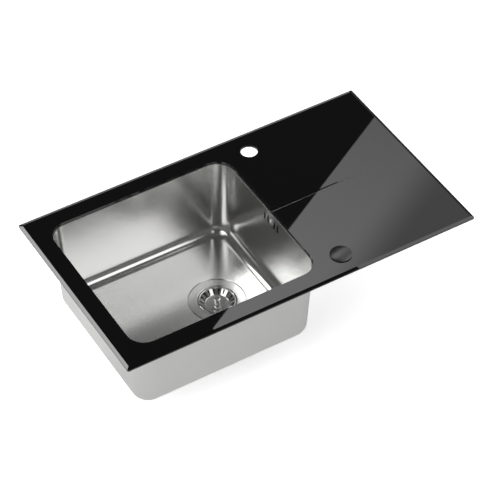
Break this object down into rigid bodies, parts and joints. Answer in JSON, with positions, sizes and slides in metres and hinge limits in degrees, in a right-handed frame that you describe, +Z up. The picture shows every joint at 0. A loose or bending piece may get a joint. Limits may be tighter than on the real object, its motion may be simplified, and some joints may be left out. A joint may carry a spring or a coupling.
{
  "type": "glass kitchen sink",
  "caption": "Black glass kitchen sink with a bonded steel bowl, a plain drainer with a groove, a tap hole, an overflow and a strainer waste that a round knob lifts.",
  "frame": {"origin": "under the middle of the front sealing strip, on the plane of the worktop's top", "axes": "+X to the right along the plate, +Y to the rear, +Z up"},
  "size_m": [0.77, 0.44, 0.2961],
  "materials": {
    "black_glass": "polished, black on its back",
    "bowl_steel": "satin",
    "drain_steel": "bright, pressed or turned",
    "knob_black": "satin",
    "black_plastic": "moulded",
    "grey_plastic": "moulded",
    "black_rubber": "plain",
    "foam_rubber": "closed-cell strip",
    "adhesive": "cured bead",
    "brass": "cast, unpolished"
  },
  "bodies": {
    "sink": {"glass_top": "black_glass", "rim_seal": "foam_rubber", "bowl": "bowl_steel", "bowl_adhesive": "adhesive", "drain_flange": "drain_steel", "flange_gasket": "black_rubber", "waste_gasket": "black_rubber", "waste_body": "grey_plastic", "fixing_screw": "drain_steel", "pin_seal": "black_rubber", "lever_axle": "drain_steel", "lift_housing": "black_plastic", "lift_cover": "black_plastic", "cover_screws": "drain_steel", "overflow_gasket": "black_rubber", "overflow_housing": "black_plastic", "overflow_screw": "drain_steel", "overflow_washer": "drain_steel", "overflow_hose": "grey_plastic", "hose_nuts": "black_plastic", "control_bezel": "black_plastic", "bezel_gasket": "black_rubber", "control_washer": "black_rubber", "control_nut": "grey_plastic", "control_housing": "grey_plastic", "control_cover": "grey_plastic", "cable_ferrules": "brass", "control_cable": "black_plastic"},
    "control": {"control_knob": "knob_black", "control_spindle": "drain_steel", "cable_drum": "brass"},
    "lever": {"lift_lever": "brass"},
    "pin": {"lift_pin": "drain_steel"},
    "strainer": {"strainer_basket": "drain_steel", "lifting_post": "drain_steel", "seal_carrier": "black_plastic", "basket_seal": "black_rubber"}
  },
  "joints": [
    {"name": "knob_turn", "type": "hinge", "parent": "sink", "child": "control", "pos_m": [0.107, 0.041, 0], "axis": [0, 0, -1], "range_deg": [0, 90]},
    {"name": "lever_swing", "type": "hinge", "parent": "sink", "child": "lever", "pos_m": [-0.051, 0.212, -0.2714], "axis": [0, 1, 0], "range_deg": [0, 25.68]},
    {"name": "pin_lift", "type": "slide", "parent": "sink", "child": "pin", "axis": [0, 0, 1], "range_m": [0, 0.008]},
    {"name": "strainer_out", "type": "slide", "parent": "pin", "child": "strainer", "axis": [0, 0, 1], "range_m": [0, 0.12]}
  ],
  "couplings": [
    {"joint": "lever_swing", "follows": "pin_lift", "rad_per_m": 56.022},
    {"joint": "knob_turn", "follows": "pin_lift", "rad_per_m": 196.35}
  ]
}
